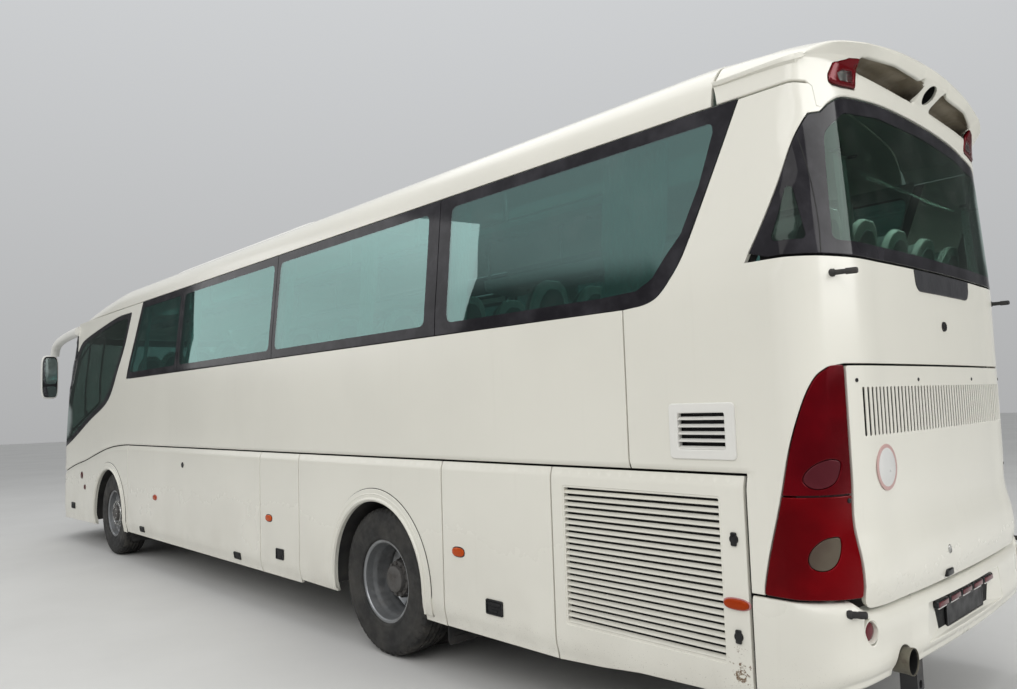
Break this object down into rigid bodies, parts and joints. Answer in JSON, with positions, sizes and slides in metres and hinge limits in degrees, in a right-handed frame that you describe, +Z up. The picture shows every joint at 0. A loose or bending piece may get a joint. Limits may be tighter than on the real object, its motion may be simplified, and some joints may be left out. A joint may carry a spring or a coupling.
{
  "type": "coach bus",
  "caption": "Two-axle touring coach with hinged luggage doors, swing-out passenger doors, steered front wheels, twin rear wheels and a rear engine lid.",
  "frame": {"origin": "on the ground, on the centre line, under the middle of the overall length and width", "axes": "+X forward, +Y to the left, +Z up"},
  "size_m": [12.62, 2.91, 3.6199],
  "materials": {
    "white_paint": "gloss",
    "tinted_glass": "tinted",
    "dark_glass": "tinted",
    "clear_glass": "clear",
    "red_lens": "gloss",
    "lamp_glass": "clear",
    "black_plastic": "matte",
    "floor_covering": "matte",
    "seat_fabric": "woven",
    "dash_plastic": "matte",
    "rack_plastic": "satin",
    "curtain_cloth": "woven",
    "chassis_paint": "satin",
    "bay_metal": "matte",
    "cast_metal": "matte",
    "steel": "satin",
    "black_rubber": "matte",
    "tyre_rubber": "matte",
    "rim_steel": "satin"
  },
  "bodies": {
    "body": {"left_side_panel": "white_paint", "right_side_panel": "white_paint", "lower_side_panels": "white_paint", "rear_panel": "white_paint", "rear_bumper": "white_paint", "roof_panel": "white_paint", "rear_roof_cap": "white_paint", "roof_aircon": "white_paint", "front_panel": "white_paint", "front_bumper": "white_paint", "mirrors": "white_paint", "side_windows": "tinted_glass", "rear_window": "dark_glass", "windscreen": "clear_glass", "tail_lamps": "red_lens", "high_lamps": "red_lens", "head_lamps": "lamp_glass", "wipers": "black_plastic", "cabin_floor": "floor_covering", "entrance_steps": "floor_covering", "passenger_seats": "seat_fabric", "driver_seat": "seat_fabric", "dashboard": "dash_plastic", "luggage_racks": "rack_plastic", "curtains": "curtain_cloth", "chassis_rails": "chassis_paint", "cross_members": "chassis_paint", "floor_posts": "chassis_paint", "luggage_bays": "bay_metal", "engine_block": "cast_metal", "exhaust": "steel", "mudflaps": "black_rubber", "rear_axle": "chassis_paint", "front_axle": "chassis_paint", "steering_column": "black_plastic"},
    "luggage_door_left_front": {"luggage_door_left_front": "white_paint"},
    "luggage_door_right_front": {"luggage_door_right_front": "white_paint"},
    "luggage_door_left_mid": {"luggage_door_left_mid": "white_paint"},
    "luggage_door_left_rear": {"luggage_door_left_rear": "white_paint"},
    "luggage_door_right_rear": {"luggage_door_right_rear": "white_paint"},
    "engine_door_left": {"engine_door_left": "white_paint"},
    "engine_door_right": {"engine_door_right": "white_paint"},
    "engine_lid": {"engine_lid": "white_paint"},
    "front_door_arm": {"front_door_arm": "steel"},
    "front_door": {"front_door": "white_paint"},
    "middle_door_arm": {"middle_door_arm": "steel"},
    "middle_door": {"middle_door": "white_paint"},
    "steering_wheel": {"steering_wheel": "black_plastic"},
    "knuckle_left": {"steering_knuckle_left": "cast_metal"},
    "knuckle_right": {"steering_knuckle_right": "cast_metal"},
    "front_wheel_left": {"front_tyre_left": "tyre_rubber", "front_rim_left": "rim_steel"},
    "front_wheel_right": {"front_tyre_right": "tyre_rubber", "front_rim_right": "rim_steel"},
    "rear_wheels_left": {"rear_tyres_left": "tyre_rubber", "rear_rim_left": "rim_steel"},
    "rear_wheels_right": {"rear_tyres_right": "tyre_rubber", "rear_rim_right": "rim_steel"}
  },
  "joints": [
    {"name": "luggage_door_left_front_hinge", "type": "hinge", "parent": "body", "child": "luggage_door_left_front", "pos_m": [0.85, 1.275, 1.408], "axis": [1, 0, 0], "range_deg": [0, 110]},
    {"name": "luggage_door_right_front_hinge", "type": "hinge", "parent": "body", "child": "luggage_door_right_front", "pos_m": [0.85, -1.275, 1.408], "axis": [-1, 0, 0], "range_deg": [0, 110]},
    {"name": "luggage_door_left_mid_hinge", "type": "hinge", "parent": "body", "child": "luggage_door_left_mid", "pos_m": [-1.305, 1.275, 1.408], "axis": [1, 0, 0], "range_deg": [0, 110]},
    {"name": "luggage_door_left_rear_hinge", "type": "hinge", "parent": "body", "child": "luggage_door_left_rear", "pos_m": [-4.064, 1.275, 1.408], "axis": [1, 0, 0], "range_deg": [0, 110]},
    {"name": "luggage_door_right_rear_hinge", "type": "hinge", "parent": "body", "child": "luggage_door_right_rear", "pos_m": [-4.064, -1.275, 1.408], "axis": [-1, 0, 0], "range_deg": [0, 110]},
    {"name": "engine_door_left_hinge", "type": "hinge", "parent": "body", "child": "engine_door_left", "pos_m": [-4.561, 1.275, 0.88], "axis": [0, 0, -1], "range_deg": [0, 90]},
    {"name": "engine_door_right_hinge", "type": "hinge", "parent": "body", "child": "engine_door_right", "pos_m": [-4.561, -1.275, 0.88], "axis": [0, 0, 1], "range_deg": [0, 90]},
    {"name": "engine_lid_hinge", "type": "hinge", "parent": "body", "child": "engine_lid", "pos_m": [-6.22, 0, 1.884], "axis": [0, 1, 0], "range_deg": [0, 75]},
    {"name": "front_door_swing", "type": "hinge", "parent": "body", "child": "front_door_arm", "pos_m": [5.165, -1.158, 1.4], "axis": [0, 0, 1], "range_deg": [0, 90]},
    {"name": "front_door_follow", "type": "hinge", "parent": "front_door_arm", "child": "front_door", "pos_m": [4.645, -1.158, 1.4], "axis": [0, 0, 1], "range_deg": [-90, 0]},
    {"name": "middle_door_swing", "type": "hinge", "parent": "body", "child": "middle_door_arm", "pos_m": [-1.575, -1.158, 1.4], "axis": [0, 0, -1], "range_deg": [0, 90]},
    {"name": "middle_door_follow", "type": "hinge", "parent": "middle_door_arm", "child": "middle_door", "pos_m": [-1.055, -1.158, 1.4], "axis": [0, 0, -1], "range_deg": [-90, 0]},
    {"name": "steer_left", "type": "hinge", "parent": "body", "child": "knuckle_left", "pos_m": [3.358, 0.905, 0.52], "axis": [0, 0, 1], "range_deg": [-42, 42]},
    {"name": "steer_right", "type": "hinge", "parent": "body", "child": "knuckle_right", "pos_m": [3.358, -0.905, 0.52], "axis": [0, 0, 1], "range_deg": [-42, 42]},
    {"name": "steering_wheel_turn", "type": "hinge", "parent": "body", "child": "steering_wheel", "pos_m": [5.09, 0.66, 1.89], "axis": [-0.4695, 0, 0.8829], "range_deg": [-720, 720]},
    {"name": "front_wheel_left_spin", "type": "hinge", "parent": "knuckle_left", "child": "front_wheel_left", "pos_m": [3.358, 1.083, 0.52], "axis": [0, 1, 0], "continuous": true},
    {"name": "rear_wheels_left_spin", "type": "hinge", "parent": "body", "child": "rear_wheels_left", "pos_m": [-2.811, 0.92, 0.52], "axis": [0, 1, 0], "continuous": true},
    {"name": "front_wheel_right_spin", "type": "hinge", "parent": "knuckle_right", "child": "front_wheel_right", "pos_m": [3.358, -1.083, 0.52], "axis": [0, 1, 0], "continuous": true},
    {"name": "rear_wheels_right_spin", "type": "hinge", "parent": "body", "child": "rear_wheels_right", "pos_m": [-2.811, -0.92, 0.52], "axis": [0, 1, 0], "continuous": true}
  ],
  "couplings": [
    {"joint": "front_door_follow", "follows": "front_door_swing", "ratio": -1},
    {"joint": "middle_door_follow", "follows": "middle_door_swing", "ratio": -1},
    {"joint": "steer_right", "follows": "steer_left", "ratio": 1},
    {"joint": "steering_wheel_turn", "follows": "steer_left", "ratio": 17}
  ]
}
